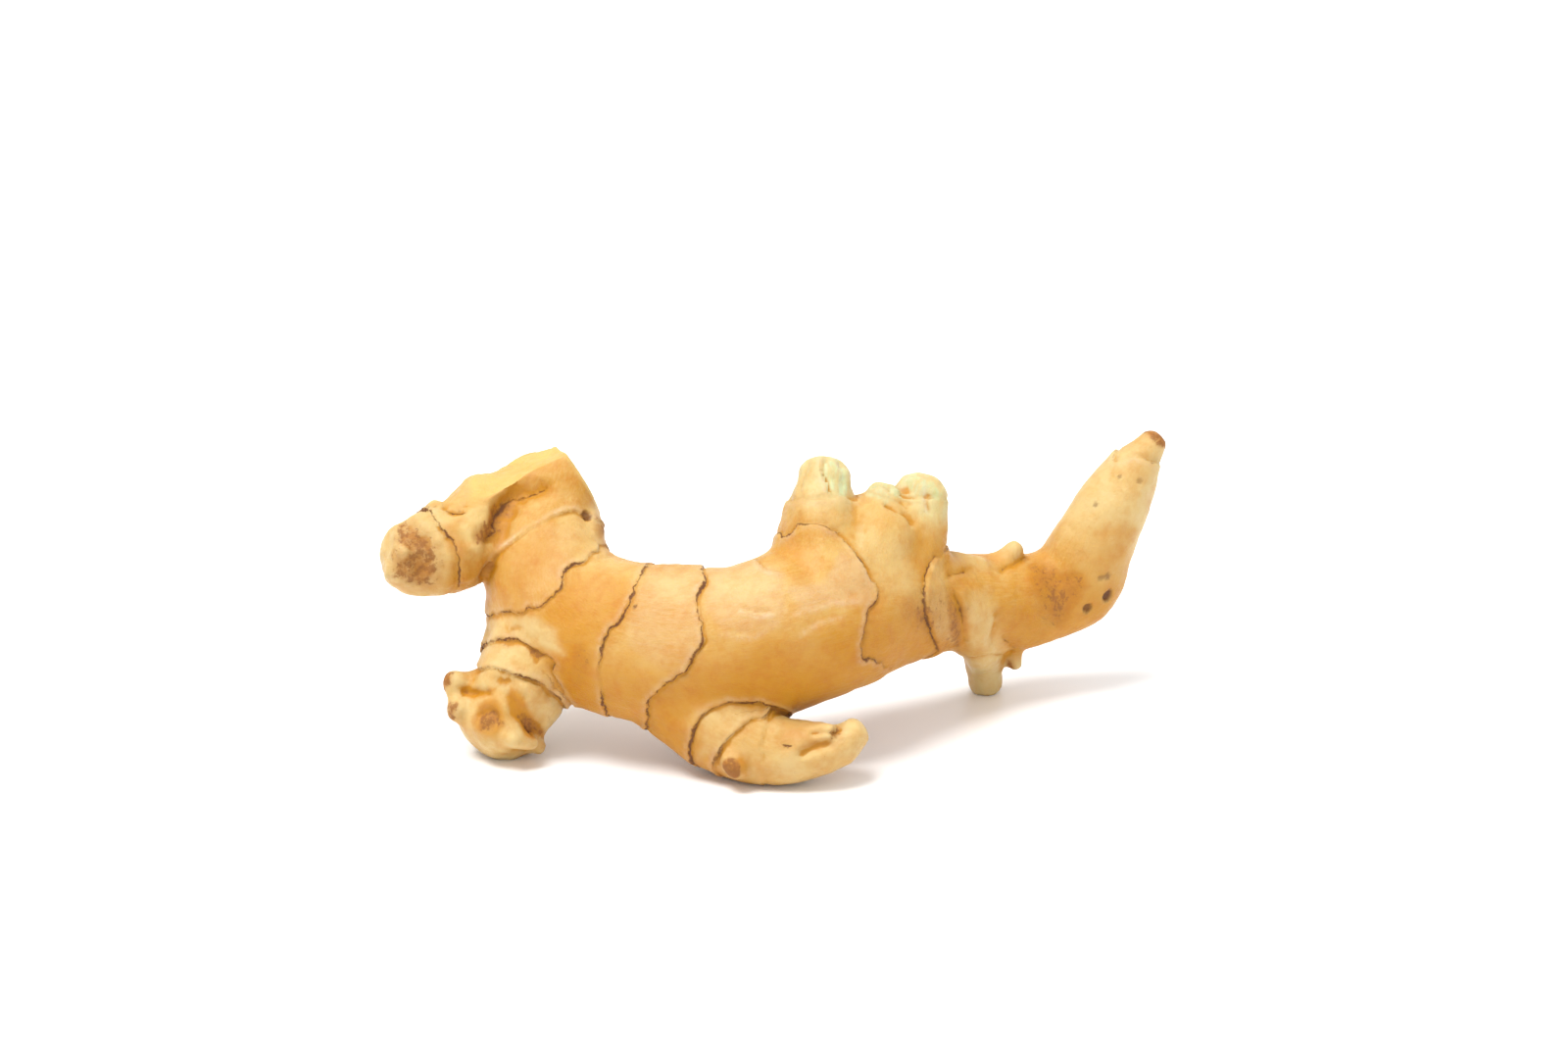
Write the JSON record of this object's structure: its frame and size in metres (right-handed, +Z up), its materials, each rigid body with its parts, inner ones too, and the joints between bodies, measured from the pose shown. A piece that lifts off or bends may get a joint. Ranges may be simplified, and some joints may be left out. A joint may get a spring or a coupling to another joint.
{
  "type": "ginger root",
  "caption": "Fresh whole ginger root: a knobbly branched rhizome with ringed fingers, round buds and a flat break, lying on three low points.",
  "frame": {"origin": "centre of the root's box, on the surface that it lies on", "axes": "+X runs from the blunt fingers to the long pale finger, +Y away from the front, +Z up"},
  "size_m": [0.1882, 0.0799, 0.0704],
  "materials": {
    "skin": "smooth, faintly moist warm tan ginger skin with brown leaf scars, papery patches and paler tips"
  },
  "bodies": {
    "root": {"ginger_root": "skin"}
  },
  "joints": []
}
